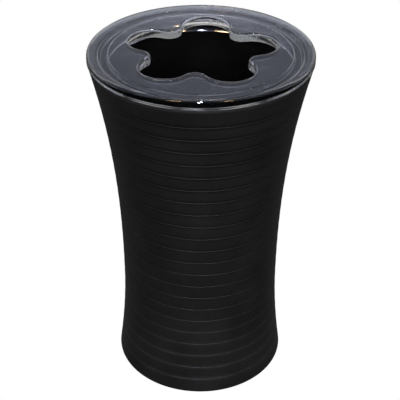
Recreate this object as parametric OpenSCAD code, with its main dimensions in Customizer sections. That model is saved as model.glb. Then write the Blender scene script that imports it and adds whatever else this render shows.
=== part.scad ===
// Toothbrush tumbler: a waisted, grooved cup with a loose clear lid.
// Millimetres, +Z up, origin at the middle of the plane that it stands on.

/* [Shell] */
// Height of the shell without its pads and lid
shell_h = 118; // [90:1:160]
// Outer radius at the mouth
mouth_r = 36.55; // [34:0.05:42]
// Outer radius at the waist, the narrowest place
waist_r = 27.4; // [25:0.05:30]
// Height of the waist above the foot
waist_z = 34; // [20:1:60]
// Outer radius at the foot
foot_r = 30.2; // [28:0.1:34]
// Power of the curve from the waist up to the mouth
mouth_flare = 2.35; // [1.5:0.05:3]
// Power of the curve from the waist down to the foot
foot_flare = 1.85; // [1.5:0.05:3]
// Wall thickness
wall = 2.2; // [1.6:0.1:2.6]
// Rounding of the mouth's and the foot's outer edges
shell_edge = 1.2; // [0.6:0.1:1.6]
// Rounding of the mouth's inner edge, which clears the root of the lid's skirt
mouth_round = 1.8; // [0.6:0.1:2.2]

/* [Grooves] */
// Distance from one groove to the next
groove_pitch = 5; // [4:0.5:8]
// Height of the lowest groove above the foot
groove_first = 6.1; // [4:0.1:10]
// Width of a groove
groove_w = 0.6; // [0.3:0.1:1]
// Depth of a groove
groove_d = 0.35; // [0.2:0.05:0.8]
// How far the middle of each band stands out
band_crown = 0.06; // [0:0.02:0.2]

/* [Base] */
// Thickness of the disc that closes the lower end
disc_t = 2.4; // [1.8:0.1:3]
// Height of the disc's underside above the foot
disc_recess = 1; // [0.5:0.1:2]
// Number of anti-slip pads
pad_count = 3; // [3:1:6]
// Radius of a pad
pad_r = 5; // [3:0.5:6]
// Distance from the middle to each pad
pad_ring_r = 18; // [12:1:20]
// How far the pads lift the foot off the surface
pad_stand = 0.3; // [0.2:0.1:1]

/* [Lid] */
// Outer radius of the lid
lid_r = 36.7; // [34:0.05:41]
// Thickness of the lid's plate
lid_t = 2.95; // [1.5:0.05:4]
// Rounding of the lid's upper edge
lid_edge = 1.3; // [0.4:0.1:1.4]
// Outer radius of the plug skirt
skirt_r = 32.45; // [30:0.05:33]
// Wall of the plug skirt
skirt_t = 2.5; // [1.2:0.1:3]
// Depth of the plug skirt under the plate
skirt_h = 4.6; // [3:0.1:8]
// Rounding where the skirt's outside meets the plate
root_round = 1.8; // [0.2:0.1:2]
// Rounding where the skirt's inside meets the plate
root_round_in = 0.4; // [0.2:0.1:2]
// Radial play between the skirt and the mouth
skirt_play = 0.3; // [0.15:0.05:0.5]

/* [Brush slots] */
// Number of lobes in the opening
lobes = 5; // [4:1:6]
// Radius of a lobe
lobe_r = 8; // [6:0.1:8.5]
// Distance from the middle of the lid to the middle of a lobe
lobe_ring_r = 17.2; // [16:0.1:18]
// Rounding of the tongues between the lobes
tongue_r = 4.25; // [3:0.05:5]
// Direction of the first lobe, counted from +X
lobe_turn = 85; // [0:0.5:90]

/* [Hidden] */
$fn = 96;

arc_steps = 5;
bore_r = skirt_r + skirt_play;
inner_steps = 30;

groove_count = 1 + floor((shell_h - groove_first - groove_pitch) / groove_pitch);

disc_play = 0.1;
disc_ledge = 1.3;
foot_wall = 1.9;
disc_seat_z = disc_recess + disc_t;
disc_seat_r = outer_r(disc_seat_z) - foot_wall;
dish_r = 11;
dish_depth = 0.5;
pad_sink = 0.6;
pad_play = 0.1;

lid_z = pad_stand + shell_h;
lid_foot_edge = 0.3;
skirt_chamfer = 0.4;
// The tongue's circle touches the circles of the lobes on both sides of it
half_step = 180 / lobes;
tongue_ring_r = lobe_ring_r * cos(half_step)
    + sqrt(pow(lobe_r + tongue_r, 2) - pow(lobe_ring_r * sin(half_step), 2));
cut_over = 1;

// Outer radius of the shell at a height above its foot, without the grooves
function outer_r(z) = z < waist_z
    ? waist_r + (foot_r - waist_r) * pow((waist_z - z) / waist_z, foot_flare)
    : waist_r + (mouth_r - waist_r) * pow((z - waist_z) / (shell_h - waist_z), mouth_flare);

// Inner radius: an even wall, but straight where the lid's skirt and the disc go in
function inner_r(z) = z < waist_z
    ? min(outer_r(z) - wall, disc_seat_r - disc_ledge)
    : min(outer_r(z) - wall, bore_r);

function groove_z(i) = groove_first + i * groove_pitch;

// A quarter circle of radius r around a point, from one angle to another
function arc(centre, r, from, to) =
    [for (i = [0:arc_steps]) let (a = from + (to - from) * i / arc_steps)
        centre + r * [cos(a), sin(a)]];

// One band between two heights, a little fuller in the middle
function band(low, high) = let (middle = (low + high) / 2)
    [[outer_r(low), low], [outer_r(middle) + band_crown, middle], [outer_r(high), high]];

function shell_outline() = concat(
    arc([outer_r(shell_edge) - shell_edge, shell_edge], shell_edge, -90, 0),
    [for (i = [0:groove_count - 1])
        let (low = i == 0 ? 2 * shell_edge : groove_z(i - 1) + groove_w / 2,
             high = groove_z(i) - groove_w / 2)
        each concat(band(low, high), [[outer_r(groove_z(i)) - groove_d, groove_z(i)]])],
    [[outer_r(groove_z(groove_count - 1) + groove_w / 2),
      groove_z(groove_count - 1) + groove_w / 2]],
    arc([outer_r(shell_h - shell_edge) - shell_edge, shell_h - shell_edge], shell_edge, 0, 90),
    arc([bore_r + mouth_round, shell_h - mouth_round], mouth_round, 90, 180),
    [for (i = [1:inner_steps])
        let (z = shell_h - (shell_h - disc_seat_z) * i / inner_steps) [inner_r(z), z]],
    [[disc_seat_r, disc_seat_z], [disc_seat_r, 0]]);

module body_shell() {
    color([0.03, 0.03, 0.032])
        translate([0, 0, pad_stand])
            rotate_extrude() polygon(shell_outline());
}

// Places its children where the pads go
module at_pads() {
    for (i = [0:pad_count - 1])
        rotate([0, 0, 90 + i * 360 / pad_count])
            translate([pad_ring_r, 0, 0])
                children();
}

module base_disc() {
    color([0.04, 0.04, 0.042])
        translate([0, 0, pad_stand + disc_recess])
            difference() {
                cylinder(h = disc_t, r = disc_seat_r - disc_play);
                translate([0, 0, -cut_over]) cylinder(h = dish_depth + cut_over, r = dish_r);
                at_pads()
                    translate([0, 0, -cut_over])
                        cylinder(h = pad_sink + cut_over, r = pad_r + pad_play);
            }
}

module foot_pads() {
    color([0.09, 0.09, 0.09])
        at_pads() cylinder(h = pad_stand + disc_recess + pad_sink, r = pad_r);
}

// The outline of the opening: lobes round the middle, and tongues between them that touch them
module slot_outline() {
    difference() {
        polygon([for (i = [0:2 * lobes - 1])
            (i % 2 == 0 ? lobe_ring_r : tongue_ring_r)
                * [cos(lobe_turn + i * half_step), sin(lobe_turn + i * half_step)]]);
        for (i = [0:lobes - 1])
            rotate(lobe_turn + (2 * i + 1) * half_step)
                translate([tongue_ring_r, 0]) circle(r = tongue_r);
    }
    for (i = [0:lobes - 1])
        rotate(lobe_turn + 2 * i * half_step)
            translate([lobe_ring_r, 0]) circle(r = lobe_r);
}

// The plate and its plug skirt, turned in one profile
module lid_blank() {
    skirt_in_r = skirt_r - skirt_t;
    rotate_extrude()
        polygon(concat(
            [[0, 0]],
            arc([skirt_in_r - root_round_in, -root_round_in], root_round_in, 90, 0),
            [[skirt_in_r, skirt_chamfer - skirt_h], [skirt_in_r + skirt_chamfer, -skirt_h],
             [skirt_r - skirt_chamfer, -skirt_h], [skirt_r, skirt_chamfer - skirt_h]],
            arc([skirt_r + root_round, -root_round], root_round, 180, 90),
            [[lid_r - lid_foot_edge, 0], [lid_r, lid_foot_edge]],
            arc([lid_r - lid_edge, lid_t - lid_edge], lid_edge, 0, 90),
            [[0, lid_t]]));
}

module clear_lid() {
    color([0.75, 0.79, 0.86, 0.35])
        translate([0, 0, lid_z])
            difference() {
                lid_blank();
                translate([0, 0, -cut_over])
                    linear_extrude(height = lid_t + 2 * cut_over) slot_outline();
            }
}

body_shell();
base_disc();
foot_pads();
clear_lid();
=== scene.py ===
"""Looks for the toothbrush tumbler: a matte black grooved cup with a clear, slotted lid.

The object's lengths are in millimetres and go through MM where they reach Blender. The camera, the
lamps and the numbers that nodes take are in metres.
"""

import math

import bpy
from mathutils import Matrix, Vector


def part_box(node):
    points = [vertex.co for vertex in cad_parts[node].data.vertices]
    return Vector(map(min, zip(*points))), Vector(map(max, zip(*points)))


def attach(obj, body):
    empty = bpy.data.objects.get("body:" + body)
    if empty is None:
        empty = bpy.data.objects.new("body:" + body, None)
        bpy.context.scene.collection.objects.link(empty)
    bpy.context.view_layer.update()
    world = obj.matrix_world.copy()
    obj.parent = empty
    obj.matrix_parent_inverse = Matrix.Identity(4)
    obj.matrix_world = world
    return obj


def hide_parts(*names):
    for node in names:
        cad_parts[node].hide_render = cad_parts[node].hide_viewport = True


MM = 0.001

# The cup's outline, as part.scad has it
SHELL_H = 118.0
MOUTH_R, WAIST_R, FOOT_R = 36.55, 27.4, 30.2
WAIST_Z = 34.0
MOUTH_FLARE, FOOT_FLARE = 2.35, 1.85
WALL = 2.2
SHELL_EDGE = 1.2         # rounding of the mouth's and the foot's outer edges
EDGE_GAP = 0.3           # from there to the nearest band
FOOT_EDGE_IN = 0.3       # rounding of the foot's inner edge
MOUTH_ROUND = 1.8        # rounding of the mouth's inner edge
SEAT_GAP = 0.05          # air between the lid's plate and the cup's rim
RIM_H = 2.0              # height of the rim, which makes room for that air

# The grooves round it
GROOVE_PITCH, GROOVE_FIRST, GROOVE_COUNT = 5.0, 6.1, 22
GROOVE_W, GROOVE_D = 0.2, 0.15
GROOVE_LIP = 0.045       # rounding of a groove's edges
BAND_CROWN = 0.05        # how far the middle of each band stands out

# The disc in its foot and the pads under the disc
DISC_T, DISC_RECESS, DISC_LEDGE, FOOT_WALL = 2.4, 1.0, 1.3, 1.9
DISC_PLAY, DISC_EDGE = 0.1, 0.3
DISH_R, DISH_DEPTH, DISH_SLOPE = 11.0, 0.5, 0.5
DISH_ROUND, DISH_EDGE = 0.4, 0.2
PAD_R, PAD_SINK, PAD_COUNT, PAD_RING_R = 5.0, 0.6, 3, 18.0
PAD_EDGE, PAD_TOP_EDGE = 0.35, 0.2
DISC_CORE_R, PAD_CORE_R = 0.4, 0.3     # the innermost loop, which is filled in

# The lid and its opening
LID_R, LID_T, LID_EDGE = 36.7, 2.95, 1.3
LID_FOOT_EDGE = 0.3
SKIRT_R, SKIRT_T, SKIRT_H = 32.45, 2.5, 4.6
SKIRT_PLAY = 0.3
SKIRT_DRAFT = 0.05       # how much narrower each side of the skirt is at its foot
SKIRT_FOOT_ROUND = 0.45
ROOT_ROUND = 1.8         # where the skirt's outside meets the plate
ROOT_ROUND_IN = 0.4      # where its inside does
UNDERSIDE_W = 3.0        # the plate's underside beside the skirt, before the rows that cross it
LOBES, LOBE_R, LOBE_RING_R, TONGUE_R = 5, 8.0, 17.2, 4.25
LOBE_TURN = math.radians(85)
SLOT_EDGE, SLOT_EDGE_UNDER = 0.9, 0.25
BLOOM_R, BLOOM_FADE = 28.0, 4.0        # reach of the fine scratches over the lid's middle
BLOOM = 0.012                          # their strength

# Slots of the lid's materials and of the shell's second one
CLEAR, SLOT_WALL, ROUNDING = 0, 1, 2
INSIDE = 1

# Fineness of the meshes
ROUND_STEPS, DISC_STEPS, PAD_STEPS = 240, 160, 72     # round the axis
INSIDE_STEPS = 28        # down the cup's inside
BAND_STEPS = 4
CORNER_STEPS = 10        # of each rounded corner of the lid's skirt
LARGE_STEPS, FOOT_STEPS, SMALL_STEPS, LIP_STEPS = 8, 6, 4, 2     # of other rounded edges
PLATE_STEPS = 4          # across the lid's plate, above and below
LIP = 0.04               # a support loop this far from each rounded edge keeps flat faces flat


# ---------------------------------------------------------------- outlines

def arc(centre, radius, start, end, steps):
    """Points of an arc between two angles in degrees, ends included."""
    points = []
    for i in range(steps + 1):
        angle = math.radians(start + (end - start) * i / steps)
        points.append((centre[0] + radius * math.cos(angle), centre[1] + radius * math.sin(angle)))
    return points


def rounded(corners, steps):
    """A closed outline from (r, z, radius) corners. Each corner with a radius becomes an arc."""
    points = []
    count = len(corners)
    for i, (r, z, radius) in enumerate(corners):
        here = Vector((r, z))
        if radius == 0:
            points.append((r, z))
            continue
        before = (Vector(corners[i - 1][:2]) - here).normalized()
        after = (Vector(corners[(i + 1) % count][:2]) - here).normalized()
        half = before.angle(after) / 2
        reach = radius / math.tan(half)
        middle = here + (before + after).normalized() * radius / math.sin(half)
        start, end = here + before * reach, here + after * reach
        first = math.atan2(*reversed(start - middle))
        sweep = math.remainder(math.atan2(*reversed(end - middle)) - first, 2 * math.pi)
        points.append(tuple(start + before * LIP))
        points += arc(middle, radius, math.degrees(first), math.degrees(first + sweep), steps)
        points.append(tuple(end + after * LIP))
    return points


def outer_r(z):
    """Outer radius of the cup at a height above its foot, without the grooves."""
    if z < WAIST_Z:
        return WAIST_R + (FOOT_R - WAIST_R) * ((WAIST_Z - z) / WAIST_Z) ** FOOT_FLARE
    return WAIST_R + (MOUTH_R - WAIST_R) * ((z - WAIST_Z) / (SHELL_H - WAIST_Z)) ** MOUTH_FLARE


def band(low, high):
    """The outline between two grooves, a little fuller in the middle."""
    points = []
    for k in range(BAND_STEPS + 1):
        z = low + (high - low) * k / BAND_STEPS
        points.append((outer_r(z) + BAND_CROWN * math.sin(math.pi * k / BAND_STEPS), z))
    return points


def groove(middle):
    """The outline of one groove, from below, with small rounded lips."""
    r, half, lip = outer_r(middle), GROOVE_W / 2, GROOVE_LIP
    return [*arc((r - lip, middle - half - lip), lip, 0, 90, LIP_STEPS),
            (r - GROOVE_D + lip, middle - half), (r - GROOVE_D, middle - half + lip),
            (r - GROOVE_D, middle + half - lip), (r - GROOVE_D + lip, middle + half),
            *arc((r - lip, middle + half + lip), lip, -90, 0, LIP_STEPS)]


def disc_seat():
    """Radius and height of the counterbore that takes the disc."""
    height = DISC_RECESS + DISC_T
    return outer_r(height) - FOOT_WALL, height


def inner_r(z):
    """Inner radius: an even wall, straight where the lid's skirt and the disc go in."""
    if z < WAIST_Z:
        return min(outer_r(z) - WALL, disc_seat()[0] - DISC_LEDGE)
    return min(outer_r(z) - WALL, SKIRT_R + SKIRT_PLAY)


# ---------------------------------------------------------------- meshes

def make_object(name, loops, capped=False):
    """A mesh from loops of points, each joined to the next. The last joins the first, or else both
    are filled in."""
    count = len(loops[0])
    points = [(x * MM, y * MM, z * MM) for loop in loops for x, y, z in loop]
    faces = []
    if capped:
        faces += [tuple(range(count))[::-1], tuple(range(len(points) - count, len(points)))]
    for i in range(len(loops) - 1 if capped else len(loops)):
        low, high = i * count, (i + 1) % len(loops) * count
        for k in range(count):
            after = (k + 1) % count
            faces.append((low + k, low + after, high + after, high + k))
    mesh = bpy.data.meshes.new(name)
    mesh.from_pydata(points, [], faces)
    mesh.validate()
    mesh.shade_smooth()
    piece = bpy.data.objects.new(name, mesh)
    bpy.context.scene.collection.objects.link(piece)
    return piece


def ring(r, z, steps=ROUND_STEPS):
    """One loop round the axis."""
    return [(r * math.cos(2 * math.pi * k / steps), r * math.sin(2 * math.pi * k / steps), z)
            for k in range(steps)]


def turned(name, outline, lift, steps=ROUND_STEPS, capped=False):
    """A solid of revolution from an outline that goes anticlockwise and stays off the axis. A
    capped one starts and ends near the axis, and is filled in there."""
    return make_object(name, [ring(r, z + lift, steps) for r, z in outline], capped)


def build_shell(foot_z):
    """The cup, from its foot up the outside, over the rim and down the inside to the disc's seat."""
    seat_r, seat_z = disc_seat()
    bore = SKIRT_R + SKIRT_PLAY
    edge_z = SHELL_H - SHELL_EDGE
    foot = outer_r(SHELL_EDGE) - SHELL_EDGE
    mouth = outer_r(edge_z) - SHELL_EDGE
    outline = [(seat_r + FOOT_EDGE_IN + LIP, 0), (foot - LIP, 0)]
    outline += arc((foot, SHELL_EDGE), SHELL_EDGE, -90, 0, FOOT_STEPS)

    low = SHELL_EDGE + EDGE_GAP
    reach = GROOVE_W / 2 + GROOVE_LIP + LIP / 2
    for i in range(GROOVE_COUNT):
        middle = GROOVE_FIRST + i * GROOVE_PITCH
        outline += band(low, middle - reach) + groove(middle)
        low = middle + reach
    outline += band(low, edge_z - EDGE_GAP)

    outline += arc((mouth, edge_z), SHELL_EDGE, 0, 90, LARGE_STEPS)
    outline += [(mouth - LIP, SHELL_H), (bore + MOUTH_ROUND + LIP, SHELL_H)]
    outline += arc((bore + MOUTH_ROUND, SHELL_H - MOUTH_ROUND), MOUTH_ROUND, 90, 180, LARGE_STEPS)
    outline = [(r, z if z < SHELL_H - RIM_H else z - SEAT_GAP) for r, z in outline]

    inside_first = len(outline)
    top = SHELL_H - MOUTH_ROUND - SEAT_GAP - LIP
    for k in range(INSIDE_STEPS + 1):
        z = top + (seat_z - top) * k / INSIDE_STEPS
        outline.append((inner_r(z), z))
    outline += [(inner_r(seat_z) + LIP, seat_z), (seat_r - LIP, seat_z)]
    outline += [(seat_r, seat_z), (seat_r, seat_z - LIP), (seat_r, FOOT_EDGE_IN + LIP)]
    outline += arc((seat_r + FOOT_EDGE_IN, FOOT_EDGE_IN), FOOT_EDGE_IN, 180, 270, SMALL_STEPS)
    shell = turned("cup_shell", outline, foot_z)
    for polygon in shell.data.polygons:
        if polygon.index // ROUND_STEPS >= inside_first:
            polygon.material_index = INSIDE
    return shell


def slot_columns(lobe_steps=44, tongue_steps=20):
    """How the opening's outline is made: for each point round it, its circle's centre, its
    direction from there, the circle's radius, and +1 on a lobe or -1 on a tongue."""
    half = math.pi / LOBES
    side = LOBE_RING_R * math.sin(half)
    tongue_ring_r = LOBE_RING_R * math.cos(half) + math.sqrt((LOBE_R + TONGUE_R) ** 2 - side ** 2)
    joint = math.atan2(tongue_ring_r * math.sin(half), tongue_ring_r * math.cos(half) - LOBE_RING_R)
    tongue_reach = joint - half
    columns = []
    for lobe in range(LOBES):
        turn = LOBE_TURN + 2 * half * lobe
        centre = (LOBE_RING_R * math.cos(turn), LOBE_RING_R * math.sin(turn))
        for k in range(lobe_steps):
            angle = turn - joint + 2 * joint * k / lobe_steps
            columns.append((centre, angle, LOBE_R, 1))
        turn += half
        centre = (tongue_ring_r * math.cos(turn), tongue_ring_r * math.sin(turn))
        for k in range(tongue_steps):
            angle = turn + math.pi + tongue_reach * (1 - 2 * k / tongue_steps)
            columns.append((centre, angle, TONGUE_R, -1))
    return columns


def slot_loop(columns, out, z):
    """The opening's outline at a height, moved out into the plate by a distance."""
    loop = []
    for (x, y), angle, radius, side in columns:
        reach = radius + side * out
        loop.append((x + reach * math.cos(angle), y + reach * math.sin(angle), z))
    return loop


def build_lid(rest_z):
    """The lid, from the opening's lower edge up its wall, out over the plate and back underneath,
    round the skirt. Every loop has one point for each point of the opening."""
    columns = slot_columns()
    angles = [math.atan2(y, x) for x, y, _ in slot_loop(columns, 0, 0)]

    def circle(r, z):
        return [(r * math.cos(a), r * math.sin(a), z) for a in angles]

    def between(first, last):
        """The rows that cross the plate from one loop to another."""
        loops = []
        for k in range(1, PLATE_STEPS):
            pairs = zip(first, last)
            loops.append([tuple(Vector(a).lerp(Vector(b), k / PLATE_STEPS)) for a, b in pairs])
        return loops

    under = SLOT_EDGE_UNDER
    loops = [slot_loop(columns, under + LIP, 0)]
    loops += [slot_loop(columns, under - x, z)
              for x, z in arc((0, under), under, -90, 0, SMALL_STEPS)]
    loops += [slot_loop(columns, 0, under + LIP), slot_loop(columns, 0, LID_T - SLOT_EDGE - LIP)]
    wall_rows = len(loops) + 1
    loops += [slot_loop(columns, SLOT_EDGE + x, z)
              for x, z in arc((0, LID_T - SLOT_EDGE), SLOT_EDGE, 180, 90, LARGE_STEPS)]
    inner_top = slot_loop(columns, SLOT_EDGE + LIP, LID_T)
    outer_top = circle(LID_R - LID_EDGE - LIP, LID_T)
    loops += [inner_top, *between(inner_top, outer_top), outer_top]

    edge_r, edge_z = LID_R - LID_EDGE, LID_T - LID_EDGE
    loops += [circle(r, z) for r, z in arc((edge_r, edge_z), LID_EDGE, 90, 0, LARGE_STEPS)]
    skirt_in = SKIRT_R - SKIRT_T
    outline = rounded([
        (LID_R, edge_z, 0),
        (LID_R, 0, LID_FOOT_EDGE),
        (SKIRT_R, 0, ROOT_ROUND),
        (SKIRT_R - SKIRT_DRAFT, -SKIRT_H, SKIRT_FOOT_ROUND),
        (skirt_in + SKIRT_DRAFT, -SKIRT_H, SKIRT_FOOT_ROUND),
        (skirt_in, 0, ROOT_ROUND_IN),
        (skirt_in - UNDERSIDE_W, 0, 0)], CORNER_STEPS)
    corner_first = len(loops)
    loops += [circle(r, z) for r, z in outline[1:-1]]
    loops += between(loops[-1], loops[0])
    for loop in loops:
        for k, (x, y, z) in enumerate(loop):
            loop[k] = (x, y, z + rest_z)

    def corner_rows(corner):
        """The rows of faces round one corner of the skirt's outline. Corner 0 is the lid's edge."""
        first = corner_first + corner * (CORNER_STEPS + 3)
        return range(first, first + CORNER_STEPS + 2)

    row_materials = {row: SLOT_WALL for row in range(wall_rows)}
    root, foot_in, root_in = 1, 3, 4
    for corner in (root, foot_in, root_in):
        row_materials.update({row: ROUNDING for row in corner_rows(corner)})
    row_materials[corner_rows(root)[0] - 1] = ROUNDING     # the ring that sits on the cup's rim
    lid = make_object("clear_lid_moulding", loops[::-1])
    for polygon in lid.data.polygons:
        row = (len(loops) - 2 - polygon.index // len(columns)) % len(loops)
        polygon.material_index = row_materials.get(row, CLEAR)
    return lid


def build_disc(foot_z):
    """The disc that closes the foot, with a shallow dish under its middle."""
    seat_r, _ = disc_seat()
    edge = seat_r - DISC_PLAY
    low, high = DISC_RECESS, DISC_RECESS + DISC_T
    outline = rounded([
        (DISC_CORE_R, low + DISH_DEPTH, 0),
        (DISH_R - DISH_SLOPE, low + DISH_DEPTH, DISH_ROUND),
        (DISH_R, low, DISH_EDGE),
        (edge, low, DISC_EDGE),
        (edge, high, DISC_EDGE),
        (DISC_CORE_R, high, 0)], SMALL_STEPS)
    return turned("base_disc_moulding", outline, foot_z, DISC_STEPS, capped=True)


def build_pads(foot_z):
    """The pads, each a round of foam that stands on the floor and is sunk into the disc."""
    top = foot_z + DISC_RECESS + PAD_SINK
    outline = rounded([
        (PAD_CORE_R, 0, 0),
        (PAD_R, 0, PAD_EDGE),
        (PAD_R, top, PAD_TOP_EDGE),
        (PAD_CORE_R, top, 0)], SMALL_STEPS)
    pads = []
    for i in range(PAD_COUNT):
        angle = math.pi / 2 + 2 * math.pi * i / PAD_COUNT
        pad = turned(f"foot_pad_{i + 1}", outline, 0, PAD_STEPS, capped=True)
        pad.location = (PAD_RING_R * math.cos(angle) * MM, PAD_RING_R * math.sin(angle) * MM, 0)
        pads.append(pad)
    return pads


# ---------------------------------------------------------------- materials

SHELL_DARK, SHELL_LIGHT = (0.014, 0.0135, 0.013), (0.024, 0.0235, 0.023)
# The cup's inside is the same black plastic as the outside, painted several times darker: painted
# shade inside the cup
INSIDE_PAINTED_SHADE_DARK, INSIDE_PAINTED_SHADE_LIGHT = (0.003, 0.003, 0.003), (0.004, 0.004, 0.004)
BASE_DARK, BASE_LIGHT = (0.012, 0.012, 0.012), (0.018, 0.018, 0.018)
DUST = (0.09, 0.088, 0.08)
FOAM_DARK, FOAM_LIGHT = (0.035, 0.035, 0.036), (0.07, 0.07, 0.072)
TINT_COLD, TINT_PALE = (0.89, 0.915, 0.945), (0.93, 0.94, 0.955)
# The opening's wall: a tone that varies at random, its warm end a painted warm reflection of light
# seen through the wall
WALL_PAINTED_WARM_LIGHT, WALL_PALE = (0.86, 0.83, 0.76), (0.96, 0.94, 0.9)
SATIN = (0.92, 0.91, 0.89)
SHELL_ROUGH, INSIDE_ROUGH, BASE_ROUGH = (0.46, 0.56), (0.4, 0.5), (0.5, 0.65)
BLACK_IOR, CLEAR_IOR = 1.5, 1.53


def feed(node, inputs):
    """Sets a node's inputs, or links those whose value is a socket."""
    for key, value in inputs.items():
        if isinstance(value, bpy.types.NodeSocket):
            node.id_data.links.new(value, node.inputs[key])
        else:
            node.inputs[key].default_value = value


def node_adder(tree):
    """A function that adds a node to a tree, with its settings and inputs."""
    def add(kind, inputs=None, **settings):
        node = tree.nodes.new(kind)
        for key, value in settings.items():
            setattr(node, key, value)
        feed(node, inputs or {})
        return node

    return add


def new_material(name):
    """A node material, its shader, a function that adds nodes to it, and the object's coordinates."""
    material = bpy.data.materials.new(name)
    material.use_nodes = True
    shader = next(n for n in material.node_tree.nodes if n.type == "BSDF_PRINCIPLED")
    add = node_adder(material.node_tree)
    return material, shader, add, add("ShaderNodeTexCoord").outputs["Object"]


def noise(add, where, scale, detail):
    return add("ShaderNodeTexNoise", {"Vector": where, "Scale": scale, "Detail": detail,
                                      "Roughness": 0.55}).outputs["Fac"]


def voronoi(add, where, scale):
    return add("ShaderNodeTexVoronoi", {"Vector": where, "Scale": scale}).outputs["Distance"]


def remap(add, value, low, high, out_low, out_high, kind="LINEAR"):
    return add("ShaderNodeMapRange", {"Value": value, "From Min": low, "From Max": high,
                                      "To Min": out_low, "To Max": out_high},
               interpolation_type=kind).outputs["Result"]


def maths(add, operation, first, second):
    return add("ShaderNodeMath", {0: first, 1: second}, operation=operation).outputs[0]


def mix_colour(add, factor, first, second):
    """A blend of two colours, each a socket or three numbers."""
    def colour(value):
        return value if isinstance(value, bpy.types.NodeSocket) else (*value, 1)

    return add("ShaderNodeMix", {0: factor, 6: colour(first), 7: colour(second)},
               data_type="RGBA").outputs[2]


def bumps(add, height, strength, distance):
    return add("ShaderNodeBump", {"Height": height, "Strength": strength,
                                  "Distance": distance}).outputs["Normal"]


def black_plastic(name, dark, light, rough, sheen=0.5):
    """Matte moulded plastic: a fine spark-eroded grain, slight mottling and a few specks of dust."""
    material, shader, add, where = new_material(name)
    mottle = noise(add, where, scale=60, detail=4)
    grain = noise(add, where, scale=2600, detail=2)
    blotch = remap(add, maths(add, "MULTIPLY", mottle, grain), 0.12, 0.38, 0, 1)
    colour = mix_colour(add, blotch, dark, light)
    speck = remap(add, voronoi(add, where, scale=260), 0.035, 0.055, 1, 0)
    patch = remap(add, noise(add, where, scale=35, detail=2), 0.6, 0.66, 0, 0.5)
    feed(shader, {
        "Base Color": mix_colour(add, maths(add, "MULTIPLY", speck, patch), colour, DUST),
        "Roughness": remap(add, mottle, 0.3, 0.7, *rough),
        "IOR": BLACK_IOR,
        "Specular IOR Level": sheen,
        "Normal": bumps(add, grain, strength=0.6, distance=0.00006)})
    return material


def foam_rubber(name):
    """Soft black foam with small closed cells."""
    material, shader, add, where = new_material(name)
    mottle = noise(add, where, scale=300, detail=3)
    feed(shader, {
        "Base Color": mix_colour(add, mottle, FOAM_DARK, FOAM_LIGHT),
        "Roughness": remap(add, mottle, 0.3, 0.7, 0.8, 0.95),
        "Normal": bumps(add, voronoi(add, where, scale=1500), strength=0.5, distance=0.0001)})
    return material


def clear_plastic(name):
    """Polished clear plastic: a faint cold tint, very slight moulding ripples, and a bloom of fine
    scratches over the middle of the plate, where hands and brushes rub it."""
    material, shader, add, where = new_material(name)
    level = add("ShaderNodeVectorMath", {0: where, 1: (1, 1, 0)}, operation="MULTIPLY").outputs[0]
    reach = add("ShaderNodeVectorMath", {0: level}, operation="LENGTH").outputs["Value"]
    middle = remap(add, reach, BLOOM_R * MM, (BLOOM_R + BLOOM_FADE) * MM, BLOOM, 0)
    cloud = remap(add, noise(add, where, scale=60, detail=4), 0.3, 0.7, 0.4, 1.6)
    bloom = maths(add, "MULTIPLY", middle, cloud)
    haze = noise(add, where, scale=90, detail=4)
    ripple = noise(add, where, scale=70, detail=2)
    feed(shader, {
        "Transmission Weight": maths(add, "SUBTRACT", 1.0, bloom),
        "IOR": CLEAR_IOR,
        "Roughness": remap(add, haze, 0.4, 0.75, 0.012, 0.06),
        "Base Color": mix_colour(add, noise(add, where, scale=40, detail=2), TINT_COLD, TINT_PALE),
        "Normal": bumps(add, ripple, strength=0.3, distance=0.0003)})
    return material


def striated_plastic(name):
    """The same plastic on the opening's wall: dull, with fine upright tool marks. Its tint varies at
    random from pale to warm, and the warm tint is a painted warm reflection.
    """
    material, shader, add, where = new_material(name)
    upright = add("ShaderNodeMapping", {"Vector": where, "Scale": (1, 1, 0.06)}).outputs[0]
    marks = noise(add, upright, scale=900, detail=2)
    feed(shader, {
        "Transmission Weight": 1.0,
        "IOR": CLEAR_IOR,
        "Roughness": remap(add, marks, 0.4, 0.65, 0.04, 0.3),
        "Base Color": mix_colour(add, noise(add, upright, scale=700, detail=2), WALL_PAINTED_WARM_LIGHT, WALL_PALE),
        "Normal": bumps(add, marks, strength=1.0, distance=0.0003)})
    return material


def satin_plastic(name):
    """The same plastic where a rounding of the mould isn't polished."""
    material, shader, add, where = new_material(name)
    feed(shader, {
        "Transmission Weight": 1.0,
        "IOR": CLEAR_IOR,
        "Base Color": (*SATIN, 1),
        "Roughness": remap(add, noise(add, where, scale=120, detail=3), 0.3, 0.7, 0.15, 0.3)})
    return material


# ---------------------------------------------------------------- studio

# The camera: in front, about 34 degrees above the level, and held a little askew
CAMERA_PLACE = (0, -0.31224, 0.26551)
CAMERA_DOWN, CAMERA_ROLL = 34.202, 0.267
CAMERA_LENS, CAMERA_SENSOR = 95.59, 36.0
CAMERA_SHIFT = (-0.0006, 0.0609)

# Where the lamps point: the lid and the body
LID_AIM, BODY_AIM = (0, 0, 0.12), (0, 0, 0.06)

FLOOR_SIZE = 6
FLOOR_COLD = (0.9, 0.95, 1.0)
FLOOR_THROUGH = 0.3      # how bright the floor is when it isn't seen directly

# The studio's light by direction. Each row is a stretch of the direction's Y or Z, and the factor
# before it and after it.
BACK = (0.1, 0.6, 0.05, 1.0)         # along Y: dim on the camera's side, bright behind the object
RISE = (-0.12, 0.12, 0.09, 0.78)     # along Z: brighter from the horizon up
FALL = (0.385, 0.42, 1.0, 0.44)      # along Z: where the bright back wall ends
OVERHEAD = (0.62, 0.85, 1.0, 3.6)    # along Z: the ceiling
COLD = (0.1, 0.45, 0, 1)             # along Z: from the warm white to the cold one
WARM_WHITE, COLD_WHITE = (1.0, 0.98, 0.94), (0.87, 0.92, 1.14)


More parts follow.
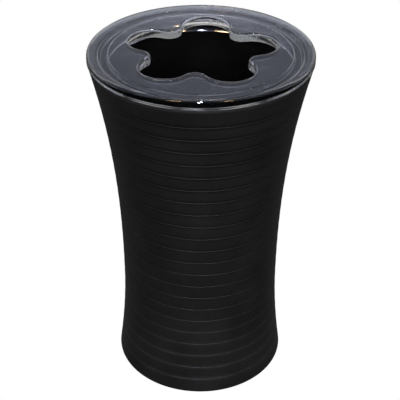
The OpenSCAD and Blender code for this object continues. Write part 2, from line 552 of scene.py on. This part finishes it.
def build_camera():
    data = bpy.data.cameras.new("camera")
    data.sensor_width = CAMERA_SENSOR
    data.lens = CAMERA_LENS
    data.shift_x, data.shift_y = CAMERA_SHIFT
    camera = bpy.data.objects.new("camera", data)
    tilt = Matrix.Rotation(math.radians(90 - CAMERA_DOWN), 4, "X")
    roll = Matrix.Rotation(math.radians(CAMERA_ROLL), 4, "Z")
    camera.matrix_world = Matrix.Translation(CAMERA_PLACE) @ tilt @ roll
    bpy.context.scene.collection.objects.link(camera)
    bpy.context.scene.camera = camera


def build_floor():
    """A floor that is white where it is seen directly, dimmer through the lid, and absent from
    reflections."""
    bpy.ops.mesh.primitive_plane_add(size=FLOOR_SIZE)
    floor = bpy.context.active_object
    floor.name = "floor"
    material, _, add, _ = new_material("floor_white")
    seen = add("ShaderNodeEmission", {"Color": (1, 1, 1, 1), "Strength": 1.0}).outputs[0]
    through = add("ShaderNodeEmission", {"Color": (*FLOOR_COLD, 1),
                                         "Strength": FLOOR_THROUGH}).outputs[0]
    direct = add("ShaderNodeLightPath").outputs["Is Camera Ray"]
    both = add("ShaderNodeMixShader", {0: direct, 1: through, 2: seen}).outputs[0]
    output = next(n for n in material.node_tree.nodes if n.type == "OUTPUT_MATERIAL")
    feed(output, {"Surface": both})
    floor.data.materials.append(material)
    floor.visible_glossy = False
    floor.visible_diffuse = False


def build_world():
    """A pale studio: bright behind the object and overhead, dimmer on the camera's side. Seen
    directly, it is white."""
    world = bpy.data.worlds.new("studio")
    world.use_nodes = True
    bpy.context.scene.world = world
    world.node_tree.nodes.clear()
    add = node_adder(world.node_tree)
    where = add("ShaderNodeTexCoord").outputs["Generated"]
    split = add("ShaderNodeSeparateXYZ", {0: where}).outputs

    def ramp(axis, row):
        return remap(add, split[axis], *row, kind="SMOOTHSTEP")

    level = maths(add, "MULTIPLY", ramp("Z", RISE), ramp("Z", FALL))
    deep = maths(add, "MULTIPLY", ramp("Y", BACK), ramp("Z", OVERHEAD))
    light = add("ShaderNodeBackground", {
        "Color": mix_colour(add, ramp("Z", COLD), WARM_WHITE, COLD_WHITE),
        "Strength": maths(add, "MULTIPLY", level, deep)}).outputs[0]
    seen = add("ShaderNodeBackground", {"Color": (1, 1, 1, 1), "Strength": 1.0}).outputs[0]
    direct = add("ShaderNodeLightPath").outputs["Is Camera Ray"]
    both = add("ShaderNodeMixShader", {0: direct, 1: light, 2: seen}).outputs[0]
    add("ShaderNodeOutputWorld", {"Surface": both})


def soft_light(name, place, aim, size, power, colour=(1, 1, 1)):
    data = bpy.data.lights.new(name, "AREA")
    data.shape = "RECTANGLE"
    data.size, data.size_y = size
    data.energy = power
    data.color = colour
    lamp = bpy.data.objects.new(name, data)
    lamp.location = place
    lamp.rotation_euler = (Vector(aim) - Vector(place)).to_track_quat("-Z", "Y").to_euler()
    bpy.context.scene.collection.objects.link(lamp)
    return lamp


def build_lamps():
    """A long ceiling lamp and two small warm ones, for reflections only, and a wide low one in
    front, which lights without being reflected."""
    ceiling = soft_light("ceiling_lamp", place=(-0.02, -0.75, 1.6), aim=LID_AIM,
                         size=(0.08, 0.9), power=32, colour=(0.82, 0.92, 1.2))
    ceiling.visible_diffuse = False
    for side in (-1, 1):
        warm = soft_light("warm_lamp", place=(0.45 * side, -0.6, 1.4), aim=LID_AIM,
                          size=(0.2, 0.4), power=3, colour=(1.0, 0.66, 0.36))
        warm.visible_diffuse = False
    fill = soft_light("front_fill", place=(0, -1.3, 0.75), aim=BODY_AIM,
                      size=(1.6, 0.3), power=15.5)
    fill.visible_glossy = False
    fill.visible_transmission = False


# ---------------------------------------------------------------- scene

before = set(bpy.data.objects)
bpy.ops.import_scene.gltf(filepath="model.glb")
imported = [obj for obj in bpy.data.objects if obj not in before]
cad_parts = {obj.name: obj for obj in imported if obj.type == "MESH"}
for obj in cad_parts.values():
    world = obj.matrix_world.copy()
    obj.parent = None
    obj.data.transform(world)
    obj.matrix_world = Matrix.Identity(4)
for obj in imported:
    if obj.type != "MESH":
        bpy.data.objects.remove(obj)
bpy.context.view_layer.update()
bpy.context.scene.view_settings.view_transform = "Standard"

foot_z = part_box("body_shell")[0].z / MM
rim_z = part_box("body_shell")[1].z / MM

build_camera()
build_floor()
build_world()
build_lamps()

shell = build_shell(foot_z)
shell.data.materials.append(black_plastic("shell_black", SHELL_DARK, SHELL_LIGHT, SHELL_ROUGH))
# The inside's darker colours are painted shade, not a different plastic
inside = black_plastic("shell_inside_painted_shade", INSIDE_PAINTED_SHADE_DARK, INSIDE_PAINTED_SHADE_LIGHT, INSIDE_ROUGH, sheen=0.1)
shell.data.materials.append(inside)
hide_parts("body_shell")
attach(shell, "cup")

disc = build_disc(foot_z)
disc.data.materials.append(black_plastic("base_black", BASE_DARK, BASE_LIGHT, BASE_ROUGH))
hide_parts("base_disc")
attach(disc, "cup")

rubber = foam_rubber("pad_foam")
for pad in build_pads(foot_z):
    pad.data.materials.append(rubber)
    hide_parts("foot_pads")
    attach(pad, "cup")

lid = build_lid(rim_z)
lid.data.materials.append(clear_plastic("lid_clear"))
lid.data.materials.append(striated_plastic("lid_slot_wall"))
lid.data.materials.append(satin_plastic("lid_roundings"))
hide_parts("clear_lid")
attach(lid, "lid")

bpy.context.view_layer.update()
